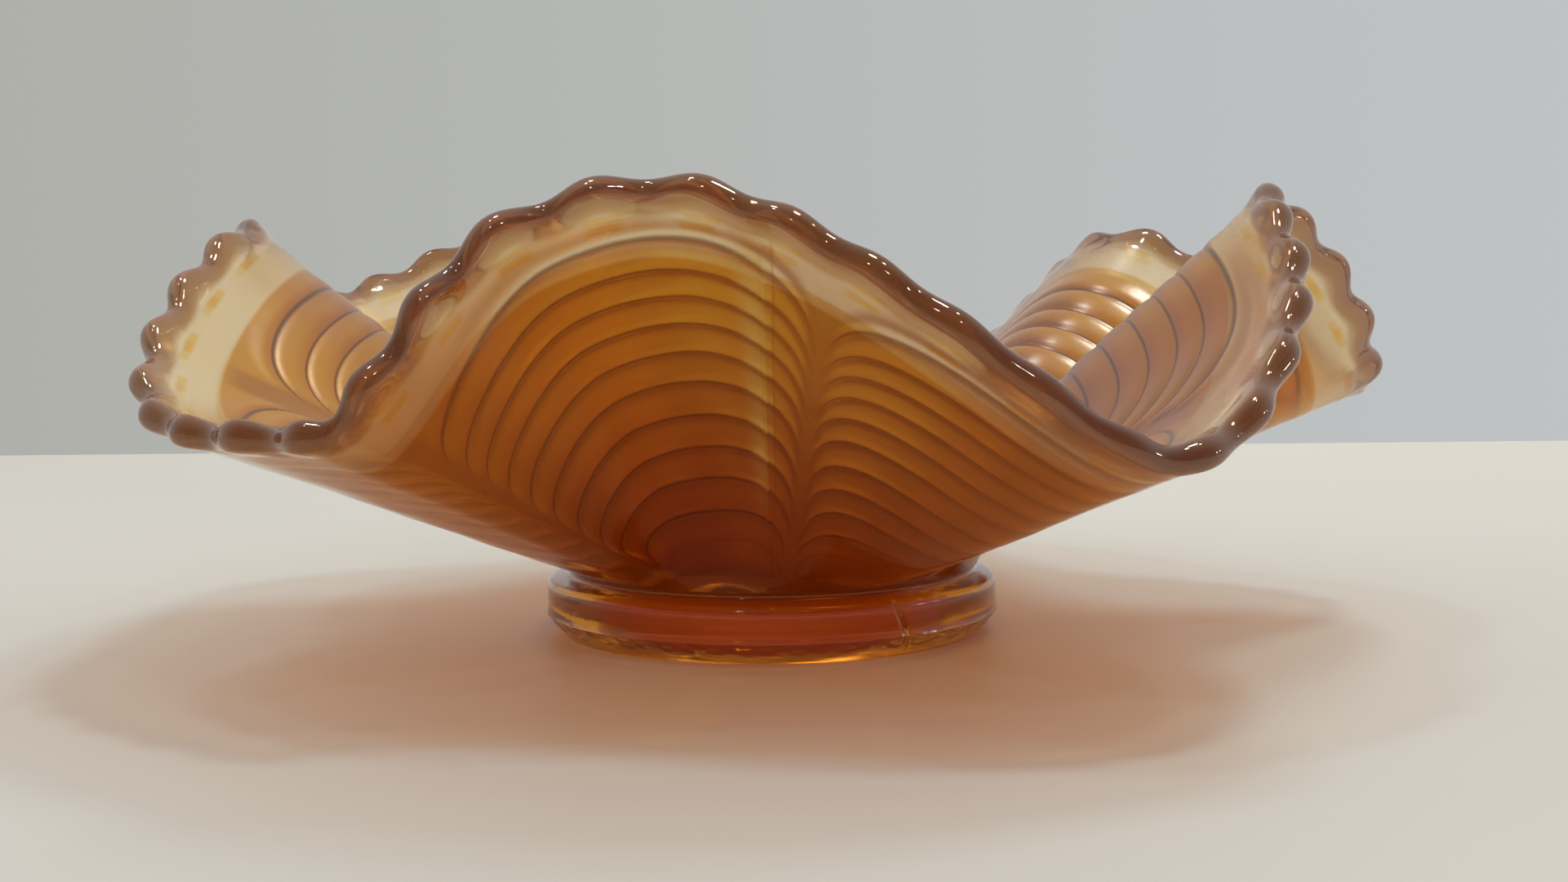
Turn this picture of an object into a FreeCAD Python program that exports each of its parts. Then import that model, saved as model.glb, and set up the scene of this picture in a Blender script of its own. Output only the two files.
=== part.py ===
"""A pressed, iridescent glass bowl with hand-crimped ruffles and a scalloped rim, on a low collar foot.

The glass is one casting, divided into its four mould zones: foot, floor, wall and rim. Neighbours share faces.
Millimetres and degrees. +Z is up, the origin is the centre of the ring that the bowl rests on, and azimuth
runs from the front (-Y) towards the right (+X).
"""
import FreeCAD, Part
import bisect
import math
import os

# ---- Glass ----
THICKNESS = 4.0            # of the wall
FLOOR_UNDERSIDE_Z = 8.0    # ceiling of the recess under the floor
FLOOR_TOP_Z = 12.8         # inside of the bowl, at its centre

# ---- Collar foot, outside from top to bottom ----
NECK_R = 37.7              # where the wall leaves the foot
NECK_Z = 11.9
SHOULDER_R = 40.4
SHOULDER_Z = 10.0
COLLAR_R = 41.2            # widest
COLLAR_Z = 6.2
RIDGE_R = 40.8             # the low ridge above the base chamfer
RIDGE_Z = 3.4
REST_OUTER_R = 38.4        # the flat ring that the bowl stands on
REST_INNER_R = 35.8
RECESS_R = 31.5            # of the recess, at its ceiling
RECESS_KNEE_R = 33.6
RECESS_KNEE_Z = 3.0

# ---- Ruffled wall ----
WALL_LENGTH = 84.4         # straight from the neck to the rim's edge, the same all the way round
WALL_BULGE = 0.34          # handle length of the profile's curve, as a share of WALL_LENGTH
SHALLOW = 20.0             # the wall angle at which the next two slopes hold ...
SHALLOW_BASE_SLOPE = 18.5
SHALLOW_RIM_SLOPE = 18.5
STEEP = 50.0               # ... and the one for these two
STEEP_BASE_SLOPE = 76.0
STEEP_RIM_SLOPE = 51.5
NECK_TILT = 43.0           # lean of the wall's end face at the neck
NECK_BLEND = 0.16          # share of the wall's length over which its thickness turns to lie along that face

# The ruffles as they were crimped: azimuth, and the angle of the wall above level. Crests near 50, troughs near 20.
RUFFLES = [
    (-119.0, 33.0), (-84.0, 45.0), (-64.0, 26.5), (-35.5, 21.0), (-29.0, 27.5), (-25.5, 40.0),
    (-20.0, 48.5), (-10.0, 52.0), (2.5, 45.5), (17.0, 29.0), (27.0, 19.0), (44.0, 28.5),
    (56.0, 40.0), (65.5, 48.5), (82.5, 43.0), (98.0, 21.0), (126.5, 43.0), (167.0, 14.5),
    (203.0, 48.5),
]
FULL_TURN = 360.0

# ---- Scalloped rim ----
RIM_START = 0.93           # share of the wall's length at which the rim begins
SCALLOPS = 55
SCALLOP_HEIGHT = 1.1       # from the mean edge to a tip
TIP_OVERSHOOT = 0.1        # by which the poles at the tip pass the glass itself
SCALLOP_PHASE = 0.90       # share of one scallop by which the first tip follows the first ruffle entry

# ---- Fineness of the freeform surfaces ----
RING_POLES = 8 * SCALLOPS  # poles round the bowl, eight to a scallop
WALL_POLES = 12            # poles from the neck to the rim
DEGREE = 3
PROBE_AZIMUTH = 0.3        # steps for measuring the surface's direction
PROBE_REACH = 0.004
ARC_STEPS = 3600           # for measuring the length of the rim


def ruffle_curve():
    """A smooth curve of wall angle over azimuth, run on past one turn at both ends so that it closes smoothly."""
    before = [(azimuth - FULL_TURN, angle) for azimuth, angle in RUFFLES[-4:]]
    after = [(azimuth + FULL_TURN, angle) for azimuth, angle in RUFFLES[:4]]
    knots = before + RUFFLES + after
    curve = Part.BSplineCurve()
    points = [FreeCAD.Vector(azimuth, angle, 0) for azimuth, angle in knots]
    curve.interpolate(Points=points, Parameters=[azimuth for azimuth, _ in knots])
    return curve


RUFFLE_CURVE = ruffle_curve()


def wall_angle(azimuth):
    first = RUFFLES[0][0]
    turned = (azimuth - first) % FULL_TURN + first
    return RUFFLE_CURVE.value(turned).y


def skin_point(azimuth, reach):
    """A point of the wall's outer skin. Reach is 0 at the neck and 1 at the mean rim."""
    angle = wall_angle(azimuth)
    steepness = (angle - SHALLOW) / (STEEP - SHALLOW)
    base_slope = math.radians(SHALLOW_BASE_SLOPE + steepness * (STEEP_BASE_SLOPE - SHALLOW_BASE_SLOPE))
    rim_slope = math.radians(SHALLOW_RIM_SLOPE + steepness * (STEEP_RIM_SLOPE - SHALLOW_RIM_SLOPE))
    rim_r = NECK_R + WALL_LENGTH * math.cos(math.radians(angle))
    rim_z = NECK_Z + WALL_LENGTH * math.sin(math.radians(angle))
    handle = WALL_BULGE * WALL_LENGTH
    profile = (
        (NECK_R, NECK_Z),
        (NECK_R + handle * math.cos(base_slope), NECK_Z + handle * math.sin(base_slope)),
        (rim_r - handle * math.cos(rim_slope), rim_z - handle * math.sin(rim_slope)),
        (rim_r, rim_z),
    )
    back = 1 - reach
    weights = (back**3, 3 * back**2 * reach, 3 * back * reach**2, reach**3)
    r = sum(weight * point[0] for weight, point in zip(weights, profile))
    z = sum(weight * point[1] for weight, point in zip(weights, profile))
    return around_axis(azimuth, r, z)


def around_axis(azimuth, r, z):
    turn = math.radians(azimuth)
    return FreeCAD.Vector(r * math.sin(turn), -r * math.cos(turn), z)


def inward(azimuth, reach):
    """The direction through the wall, from the outer skin to the inner one. It leans as the end face does at the neck."""
    sideways = skin_point(azimuth + PROBE_AZIMUTH, reach) - skin_point(azimuth - PROBE_AZIMUTH, reach)
    upwards = skin_point(azimuth, reach + PROBE_REACH) - skin_point(azimuth, reach - PROBE_REACH)
    normal = sideways.cross(upwards)
    normal.normalize()
    if normal.z < 0:
        normal = normal.negative()
    lean = math.radians(NECK_TILT)
    at_neck = around_axis(azimuth, -math.sin(lean), math.cos(lean))
    share = min(reach / NECK_BLEND, 1.0)
    blend = share * share * (3 - 2 * share)
    direction = at_neck * (1 - blend) + normal * blend
    direction.normalize()
    return direction


def glass_point(azimuth, reach, depth):
    """A point of the wall: depth is 0 on the outer skin and THICKNESS on the inner one."""
    return skin_point(azimuth, reach) + inward(azimuth, reach) * depth


def equal_steps():
    """Azimuths that divide the crimped rim into RING_POLES equal lengths."""
    first = RUFFLES[0][0]
    azimuths = [first + FULL_TURN * step / ARC_STEPS for step in range(ARC_STEPS + 1)]
    points = [skin_point(azimuth, 1.0) for azimuth in azimuths]
    lengths = [0.0]
    for here, there in zip(points, points[1:]):
        lengths.append(lengths[-1] + (there - here).Length)
    steps = []
    for index in range(RING_POLES):
        wanted = lengths[-1] * index / RING_POLES
        after = bisect.bisect_right(lengths, wanted)
        share = (wanted - lengths[after - 1]) / (lengths[after] - lengths[after - 1])
        steps.append(azimuths[after - 1] + share * FULL_TURN / ARC_STEPS)
    return steps


RING = equal_steps()


def ring_surface(rows):
    """A smooth band that closes round the bowl, from rows of poles that each run once round it."""
    last_degree = min(DEGREE, len(rows) - 1)
    spans = len(rows) - last_degree
    surface = Part.BSplineSurface()
    surface.buildFromPolesMultsKnots(
        [list(column) for column in zip(*rows)],
        [1] * (RING_POLES + 1),
        [last_degree + 1] + [1] * (spans - 1) + [last_degree + 1],
        list(range(RING_POLES + 1)),
        list(range(spans + 1)),
        True,
        False,
        DEGREE,
        last_degree,
    )
    return surface.toShape()


def wall_reaches():
    """Where along the wall its rows of poles lie, so that the spline between them keeps the wall's even run."""
    spans = WALL_POLES - DEGREE
    knots = [0] * DEGREE + list(range(spans + 1)) + [spans] * DEGREE
    middles = [sum(knots[row + 1 : row + 1 + DEGREE]) / DEGREE for row in range(WALL_POLES)]
    return [RIM_START * middle / spans for middle in middles]


def wall_row(reach, depth):
    return [glass_point(azimuth, reach, depth) for azimuth in RING]


def closed_solid(faces):
    shell = Part.makeShell(faces)
    shell.sewShape()
    solid = Part.makeSolid(shell)
    if solid.Volume < 0:
        solid.reverse()
    return solid


def bowl_wall():
    """The ruffled wall between the neck and the start of the rim."""
    outer = ring_surface([wall_row(reach, 0) for reach in wall_reaches()])
    inner = ring_surface([wall_row(reach, THICKNESS) for reach in wall_reaches()])
    bottom = ring_surface([wall_row(0, 0), wall_row(0, THICKNESS)])
    top = ring_surface([wall_row(RIM_START, 0), wall_row(RIM_START, THICKNESS)])
    return closed_solid([outer, inner, bottom, top])


def rim_row(millimetres, depth, follow):
    """A row of the rim's poles, so far along the wall. follow is how much of the scallop this row takes part in."""
    row = []
    for index, azimuth in enumerate(RING):
        scallop = math.cos(2 * math.pi * (SCALLOPS * index / RING_POLES - SCALLOP_PHASE))
        reach = (millimetres + follow * SCALLOP_HEIGHT * scallop) / WALL_LENGTH
        row.append(glass_point(azimuth, reach, depth))
    return row


def scalloped_rim():
    """The rounded lip: one skin up the outside, over the edge and down the inside, closed where the wall begins."""
    start = RIM_START * WALL_LENGTH
    full = WALL_LENGTH - THICKNESS / 2
    tip = WALL_LENGTH + TIP_OVERSHOOT
    middle = (start + full) / 2
    path = [
        (start, 0, 0), (middle, 0, 0.5), (full, 0, 1), (tip, 0, 1),
        (tip, THICKNESS, 1), (full, THICKNESS, 1), (middle, THICKNESS, 0.5), (start, THICKNESS, 0),
    ]
    skin = ring_surface([rim_row(*stop) for stop in path])
    bottom = ring_surface([wall_row(RIM_START, 0), wall_row(RIM_START, THICKNESS)])
    return closed_solid([skin, bottom])


def profile_point(r, z):
    return FreeCAD.Vector(r, 0, z)


def revolved(edges):
    wire = Part.Wire(edges)
    face = Part.Face(wire)
    return face.revolve(FreeCAD.Vector(0, 0, 0), FreeCAD.Vector(0, 0, 1), FULL_TURN)


def straight(*points):
    """Edges that join points in line after line."""
    return [Part.LineSegment(here, there).toShape() for here, there in zip(points, points[1:])]


def smooth(*points):
    """One curved edge through points."""
    curve = Part.BSplineCurve()
    curve.interpolate(list(points))
    return [curve.toShape()]


def collar_foot():
    """The ring that the bowl stands on."""
    neck = profile_point(NECK_R, NECK_Z)
    ridge = profile_point(RIDGE_R, RIDGE_Z)
    rest_outer = profile_point(REST_OUTER_R, 0)
    rest_inner = profile_point(REST_INNER_R, 0)
    recess_top = profile_point(RECESS_R, FLOOR_UNDERSIDE_Z)
    outside = smooth(neck, profile_point(SHOULDER_R, SHOULDER_Z), profile_point(COLLAR_R, COLLAR_Z), ridge)
    chamfer = straight(ridge, rest_outer, rest_inner)
    inside = smooth(rest_inner, profile_point(RECESS_KNEE_R, RECESS_KNEE_Z), recess_top)
    return revolved(outside + chamfer + inside + straight(recess_top, neck))


def bowl_floor():
    """The disc that closes the bottom, dished a little towards its middle."""
    lean = math.radians(NECK_TILT)
    neck = profile_point(NECK_R, NECK_Z)
    wall_inside = profile_point(NECK_R - THICKNESS * math.sin(lean), NECK_Z + THICKNESS * math.cos(lean))
    recess_top = profile_point(RECESS_R, FLOOR_UNDERSIDE_Z)
    underside_centre = profile_point(0, FLOOR_UNDERSIDE_Z)
    top_centre = profile_point(0, FLOOR_TOP_Z)
    dish = Part.BezierCurve()
    dish.setPoles([top_centre, profile_point(wall_inside.x / 2, FLOOR_TOP_Z), wall_inside])
    sides = straight(wall_inside, neck, recess_top, underside_centre, top_centre)
    return revolved([dish.toShape()] + sides)


def write(name, shape):
    shape.exportStep(os.path.join("parts", name + ".step"))
    print(name, "valid", shape.isValid(), "volume", round(shape.Volume), "box", shape.BoundBox)


os.makedirs("parts", exist_ok=True)
for make in (collar_foot, bowl_floor, bowl_wall, scalloped_rim):
    write(make.__name__, make())
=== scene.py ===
"""Looks of a ruffled, iridescent pressed-glass bowl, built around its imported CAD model.

The four CAD nodes are plain solids. Each is replaced by a fine mesh of the same zone of glass,
which adds the pressed feather relief inside the wall, the lobes of the lip, and the mould seams,
shear mark and ridge of the foot. Lengths of the bowl are in millimetres until a mesh is made, and
the set is in metres. Angles are in degrees. Azimuth runs from the front (-Y) to +X. Reach is the
place along the wall: 0 at the neck, 1 at the rim's mean edge.
"""
import math

import bmesh
import bpy
import numpy as np
from mathutils import Matrix, Vector


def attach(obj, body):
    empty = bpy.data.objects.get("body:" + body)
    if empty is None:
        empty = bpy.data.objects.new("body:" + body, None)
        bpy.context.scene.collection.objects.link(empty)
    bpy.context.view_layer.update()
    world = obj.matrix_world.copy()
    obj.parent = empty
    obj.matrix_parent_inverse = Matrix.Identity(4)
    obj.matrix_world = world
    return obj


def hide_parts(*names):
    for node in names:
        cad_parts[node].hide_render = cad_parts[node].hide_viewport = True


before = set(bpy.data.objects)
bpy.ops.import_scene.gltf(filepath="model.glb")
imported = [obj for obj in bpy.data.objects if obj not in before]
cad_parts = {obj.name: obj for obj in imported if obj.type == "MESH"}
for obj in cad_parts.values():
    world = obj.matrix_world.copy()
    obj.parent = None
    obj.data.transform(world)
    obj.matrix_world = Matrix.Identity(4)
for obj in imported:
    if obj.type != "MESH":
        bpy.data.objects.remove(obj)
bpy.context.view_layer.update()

METRES = 0.001

# ---- The design's driving sizes, as the CAD model has them ----
THICKNESS = 4.0
FLOOR_UNDERSIDE_Z = 8.0
FLOOR_TOP_Z = 12.8
NECK_R, NECK_Z = 37.7, 11.9
FOOT_FACE = (
    (37.2, 11.1), (37.7, 10.5), (39.0, 10.2), (40.3, 9.8),
    (40.95, 8.9), (41.05, 6.6), (41.05, 4.8),
)
RIDGE_BEAD = (41.25, 3.6)
RIDGE_UNDERSIDE = (40.5, 2.5)
REST_OUTER_R = 38.4
REST_INNER_R = 35.8
RECESS_KNEE = (33.6, 3.0)
RECESS_R = 31.5
WALL_LENGTH = 84.4
WALL_BULGE = 0.34
SHALLOW, SHALLOW_BASE_SLOPE, SHALLOW_RIM_SLOPE = 20.0, 18.5, 18.5
STEEP, STEEP_BASE_SLOPE, STEEP_RIM_SLOPE = 50.0, 76.0, 51.5
NECK_TILT = 43.0
NECK_BLEND = 0.16
RUFFLES = np.array([
    (-119.0, 33.0), (-84.0, 45.0), (-64.0, 26.5), (-35.5, 21.0), (-29.0, 27.5), (-25.5, 40.0),
    (-20.0, 48.5), (-10.0, 52.0), (2.5, 45.5), (17.0, 29.0), (27.0, 19.0), (44.0, 28.5),
    (56.0, 40.0), (65.5, 48.5), (82.5, 43.0), (98.0, 21.0), (126.5, 43.0), (167.0, 14.5),
    (203.0, 48.5),
])
FULL_TURN = 360.0
RIM_START = 0.93
SCALLOPS = 55
SCALLOP_HEIGHT = 1.0
SCALLOP_PHASE = 0.90
CALM_AZIMUTH = 16.0           # the lobes are shallow in front, right of the middle ...
CALM_SPAN = 26.0              # ... over about this many degrees to either side ...
CALM_SHARE = 0.62             # ... and lose this much of their height there
LOBE_SWELL = 0.10             # by which the lip is thicker than the wall, as a share of its thickness ...
LOBE_SWELL_CHANGE = 0.16      # ... and how much more at a tip, and less between two

# ---- Feather relief inside the wall ----
PANELS = 10
PANEL_SPAN = FULL_TURN / PANELS
FIRST_STEM = -31.0            # azimuth of one of the stems where two panels meet
ARC_HEIGHTS = (0.175, 0.255, 0.335, 0.42, 0.51, 0.59, 0.665, 0.735, 0.80, 0.875)
ARC_STEP = 0.078              # spacing of the arcs past either end of that list
ARC_DROP = 0.078              # how fast an arc falls as it nears a stem ...
ARC_FLATNESS = 3.3            # ... and how flat it is on top
SIDE_SAG = 0.08               # how much further from the rim the arcs lie round the sides ...
SAG_TURN = 15.0               # ... and the azimuth where they lie nearest to it
PILLOW_HEIGHT = 0.42
PILLOW_SHARPNESS = 3.0        # the higher, the flatter each band and the sharper the groove between two
LEAST_ROOM = 0.002            # keeps the arcs finite where they run into a stem
CROWD_START = 0.3             # steepness of an arc at which the lines begin to run together ...
CROWD_SPAN = 1.2              # ... and how much steeper they are once they have
CROWDED_LOSS = 0.85           # share of the relief that is lost there
LAST_ARC = len(ARC_HEIGHTS) - 1
PILLOW_START = 1.5            # arcs below the lowest one at which the relief begins ...
PILLOW_END = 0.1              # ... arcs above the uppermost one at which it starts to end ...
PILLOW_FADE = 0.8             # ... and over how many arcs it ends
RELIEF_BASE = 0.16            # reach over which the relief grows from the floor ...
RELIEF_END = 0.07             # ... and over which it dies away below the lip

# ---- Marks of the mould and the shears ----
SEAM_SPAN = 120.0             # the mould had three side sections
SEAMS = (0.0, SEAM_SPAN, 2 * SEAM_SPAN)
SEAM_HEIGHT = 0.22
SEAM_WIDTH = 0.35
SEAM_FADE = 0.04              # reach over which a seam dies away at either end of the wall
SHEAR_AZIMUTH = 35.0          # of the shear mark's lower end ...
SHEAR_LEAN = -6.0             # ... and how far round its upper end lies from there
SHEAR_CURVE = 1.5             # the higher, the more of that turn lies near the top
SHEAR_DEPTH = 0.45
SHEAR_WIDTH = 0.35
MARK_MARGIN = 0.3             # height at the resting ring that stays free of marks
NECK_MARGIN = 0.5             # the same at the neck
MARK_FADE = 1.5
WAVE_HEIGHT = 0.035           # of the slow unevenness of the wall's skins
WAVE_FADE = 0.1
# Each wave: strength, count round the bowl, twist along the wall or up the foot, and offset.
WALL_WAVES = ((1.0, 9, 11, 1.3), (1.0, 17, -23, 0.4), (0.6, 31, 37, 2.1), (0.4, 53, -61, 0.0))
FOOT_WAVES = ((1.0, 19, 2, 0.0), (1.0, 33, -3, 1.0), (0.7, 57, 4, 2.0))
RIPPLE_HEIGHT = 0.10          # of the rippled lower edge of the foot
RIPPLE_TOP_Z = 2.5            # where the ripples begin to fade ...
RIPPLE_FADE = 1.5             # ... and over what height

# ---- Hidden ends, where two zones of the one casting meet ----
END_DISH = 0.015              # reach by which a hidden end is dished, so that two never coincide
FOOT_DISH = 0.9               # the same for the foot and the floor, in millimetres
FLOOR_TONE = 0.15             # the floor is coloured as the wall is at this reach ...
FLOOR_PHASE = -2.0            # ... and lies below every arc

# ---- Fineness ----
RING_STEPS = 16 * SCALLOPS
INNER_ROWS = 150
OUTER_ROWS = 44
LIP_ROWS = 14
TIP_ROWS = 14
SIDE_STEPS = 7                # between two points of the foot's outside
RECESS_STEPS = 6
REST_ROWS = 4
FLOOR_ROWS = 36
UNDERSIDE_ROWS = 12
CENTRE_R = 1.0                # of the ring of points round the floor's centre
ARC_STEPS = 3601              # points for measuring the length of the rim
PROBE_AZIMUTH = 0.3           # steps for measuring the surface's direction
PROBE_REACH = 0.004

# ---- Colours of the glass, with painted shade and light among them ----
# painted shade in the crease at the neck, where the wall meets the foot and the floor
GROOVE_SHADE = (0.30, 0.08, 0.01)
DEEP = (0.43, 0.085, 0.006)
AMBER = (0.55, 0.165, 0.008)
HONEY = (0.68, 0.23, 0.012)
MARIGOLD = (0.72, 0.33, 0.020)
PALE = (0.92, 0.76, 0.46)
BRONZE = (0.52, 0.27, 0.08)
MAUVE = (0.37, 0.18, 0.12)
FEATHER_LINE_SHADE = (0.17, 0.10, 0.07)           # painted shade in the groove between two feathers
FEATHER_SHADE = (0.70, 0.31, 0.15)          # painted shade on the lower side of each feather
STEM_SHADE = (0.36, 0.095, 0.010)         # painted shade where the grooves of the feathers run together
STREAK = (0.78, 0.51, 0.12)         # paler, beside a mould seam
SEAM_LINE = (0.35, 0.14, 0.05)
CLOUD = (0.70, 0.30, 0.10)          # where the spray lies thicker
# painted light: the yellow glow that each lobe of the lip focuses into the glass beneath it
PAINTED_LOBE_LIGHT = (0.86, 0.48, 0.05)
FOOT_CLOUD = (0.8, 0.5, 0.3)
SHADE = (0.74, 0.51, 0.24)          # scattered light takes some colour out of the glass's shadow ...
SHADE_SHARE = 0.65                  # ... by this much

# ---- Where those colours lie, by reach on the bowl and by share of its height on the foot ----
WALL_BANDS = (
    (0.0, GROOVE_SHADE), (0.03, DEEP), (0.22, AMBER), (0.62, MARIGOLD),
    (0.842, MARIGOLD), (0.847, PALE), (0.93, PALE),
)
RIM_BANDS = ((0.93, PALE), (0.935, PALE), (0.950, BRONZE), (1.0, MAUVE))
# On the foot, the marigold stop at 0.81 is a painted highlight below the shelf's edge, and the dark stop
# at the top is painted shade in the groove under the wall.
FOOT_BANDS = (
    (0.0, MARIGOLD), (0.35, HONEY), (0.70, HONEY),
    (0.81, MARIGOLD), (0.86, AMBER), (0.90, GROOVE_SHADE),
)
BAND_WANDER = 0.03                  # by which the bands of the wall stray from an even height
PATCH_RANGE = (0.3, 0.7)            # the noise values between which a patch changes ...
CLOUD_RANGE = (0.35, 0.65)          # ... and a cloud of spray
LINE_CORE = 0.02                    # share of a feather, to either side of a line, that is darkest
LINE_STARTS = (-0.6, -0.4)          # counted in arcs from the lowest, where the lines begin
LINE_ENDS = (0.3, 0.5)              # counted in arcs from the uppermost, where the lines end
FEATHER_SHADE_ENDS = (0.2, 0.4)             # the same for the painted shade low on each feather
TOP_LINE_STARTS = (-0.5, -0.4)      # the same for where the wider, uppermost line begins
LINE_WIDTH = 0.07                   # of the lines between feathers, as a share of a feather's width ...
TOP_LINE_WIDTH = 0.13               # ... and of the uppermost one
FEATHER_SHADE_WIDTH = 0.55                  # share of a feather over which its painted shade fades out
FEATHER_SHADE_STRENGTH = 0.8
PALE_FEATHER_SHADE_SHARE = 0.3              # of the painted shade low on each feather that is left in the pale band
STEM_START = 0.1                    # crowding at which a stem's colour begins
STEM_STRENGTH = 0.85
STREAK_NEAR = 1.5                   # degrees from the seam at which the streak starts to fade ...
STREAK_FAR = 4.5                    # ... and at which it has gone
STREAK_EDGE = 0.2                   # degrees over which it begins at the seam itself
STREAK_RISE = (0.15, 0.35)          # reach over which it appears
STREAK_STRENGTH = 0.55
SEAM_LINE_WIDTH = 0.35              # degrees to either side of the seam
SEAM_LINE_STRENGTH = 0.6
CLOUD_STRENGTH = 0.35
FOOT_CLOUD_STRENGTH = 0.4
LOBE_FOLLOW = -0.006                # by which the bands of the lip follow its lobes
PALE_START = 0.80                   # the painted shade low on each feather and at the stems fades from here ...
PALE_END = 0.86                     # ... to here
LENS_REACH = 0.921
LENS_CORE = 0.005                   # half the height of the painted light under a lobe, by reach ...
LENS_EDGE = 0.013                   # ... and where it has faded out
LENS_LOBE = 0.6                     # how near a lobe's middle the painted light is at full strength
LENS_STRENGTH = 0.9

# ---- Fineness of the patches in the glass, in patches per metre ----
WANDER_SCALE = 18.0
CLOUD_SCALE = 9.0
FOOT_CLOUD_SCALE = 14.0
FILM_SCALE = 24.0
GLOSS_SCALE = 40.0
SATIN_SCALE = 30.0
BOWL_BUMP_SCALE = 260.0
FOOT_BUMP_SCALE = 200.0

# ---- Optics ----
GLASS_IOR = 1.52
FILM_IOR = 1.65
BOWL_FILM = 108.0                   # thickness in nanometres
FOOT_FILM = 70.0
FILM_SPREAD = 30.0                  # either way
FOOT_FILM_TOP = (3.4, 4.6)          # height over which the foot's film ends
SATIN_END = 0.90                    # reach at which the satin starts to fade ...
LIP_START = 0.955                   # ... and at which the glossy lip begins
GLOSS = (0.03, 0.08)                # roughness, from and to
SATIN = (0.26, 0.36)
FOOT_GLOSS = (0.05, 0.12)
WALL_MILK, WALL_SHINE = 0.12, 0.18
RIM_MILK, RIM_SHINE = 0.10, 0.55
FOOT_MILK, FOOT_SHINE = 0.05, 0.36
BUMP_STRENGTH = 0.25
BUMP_DISTANCE = 0.0002

# ---- Set, in metres ----
TABLE_COLOUR = (0.62, 0.61, 0.57)
TABLE_HALF_WIDTH = 2.0
TABLE_THICKNESS = 0.04
TABLE_BACK_Y = 0.356
TABLE_EASE = 0.010
TABLE_EASE_STEPS = 4
TABLE_ROUGHNESS = 0.5
TABLE_PATCH_SCALE = 3.0
TABLE_TONES = (0.97, 1.03)
ROOM_FRONT = (0.17, 0.17, 0.17)     # the side of the room behind the camera is dim
ROOM_BACK = (0.64, 0.64, 0.625)
BACKDROP_LEFT = (0.42, 0.425, 0.39)
BACKDROP_RIGHT = (0.53, 0.55, 0.565)
ROOM_TURN = (-0.8, 0.5)             # a direction's Y where the room's front and back begin
BACKDROP_TURN = (-0.5, 0.5)         # a direction's X where the backdrop's left and right begin
AMBER_WHITE = (1.0, 0.94, 0.86)
WARM_WHITE = (1.0, 0.95, 0.88)
SOFT_WHITE = (1.0, 0.96, 0.90)
BEHIND_PLACE = (0.30, 0.62, 0.95)
BEHIND_SIZE, BEHIND_POWER = 0.28, 4.6
RIGHT_PLACE = (0.30, 0.10, 1.35)
RIGHT_SIZE, RIGHT_POWER = 0.20, 4.0
LEFT_PLACE = (-0.35, 0.15, 1.30)
LEFT_SIZE, LEFT_POWER = 0.14, 1.4
LAMP_AIM = (0, 0, 0.04)
GLINTS = ((-0.45, -0.10, 1.10), (0.45, -0.10, 1.10), (-0.28, -0.80, 0.90), (0.28, -0.80, 0.90))
GLINT_SIZE = 0.06
GLINT_POWER = 0.45
LOW_PLACE = (1.0, -0.02, 0.17)
LOW_FRONT_PLACE = (1.0, -0.20, 0.17)
LOW_LAMP_SIZE = 0.04
LOW_LAMP_POWER = 0.13

# ---- Camera, in metres ----
CAMERA_DISTANCE = 0.3975
CAMERA_HEIGHT = 0.0701
CAMERA_ASIDE = 0.0025
CAMERA_PITCH = 5.20                 # downwards
CAMERA_ROLL = 0.54                  # clockwise
LENS_LENGTH = 50.0                  # in millimetres, as is the sensor
SENSOR_WIDTH = 36.0
NEAREST_SEEN = 0.01


# ======================================================================== shape of the wall

def spline_slopes(knots):
    """Slopes at the knots of the smooth closed curve of wall angle over azimuth."""
    azimuth, angle = knots[:, 0], knots[:, 1]
    count = len(knots)
    width = np.diff(np.append(azimuth, azimuth[0] + FULL_TURN))
    rise = np.diff(np.append(angle, angle[0])) / width
    system = np.zeros((count, count))
    right = np.zeros(count)
    for here in range(count):
        before, after = (here - 1) % count, (here + 1) % count
        system[here, before] = 1 / width[before]
        system[here, here] = 2 / width[before] + 2 / width[here]
        system[here, after] = 1 / width[here]
        right[here] = 3 * (rise[before] / width[before] + rise[here] / width[here])
    return np.linalg.solve(system, right), width


SLOPES, WIDTHS = spline_slopes(RUFFLES)


def wall_angle(azimuth):
    turned = (azimuth - RUFFLES[0, 0]) % FULL_TURN + RUFFLES[0, 0]
    here = np.clip(np.searchsorted(RUFFLES[:, 0], turned, side="right") - 1, 0, len(RUFFLES) - 1)
    after = (here + 1) % len(RUFFLES)
    width = WIDTHS[here]
    t = (turned - RUFFLES[here, 0]) / width
    return (
        (2 * t**3 - 3 * t**2 + 1) * RUFFLES[here, 1]
        + (t**3 - 2 * t**2 + t) * width * SLOPES[here]
        + (3 * t**2 - 2 * t**3) * RUFFLES[after, 1]
        + (t**3 - t**2) * width * SLOPES[after]
    )


def around_axis(azimuth, r, z):
    turn = np.radians(azimuth)
    return np.stack(np.broadcast_arrays(r * np.sin(turn), -r * np.cos(turn), z), -1)


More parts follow.
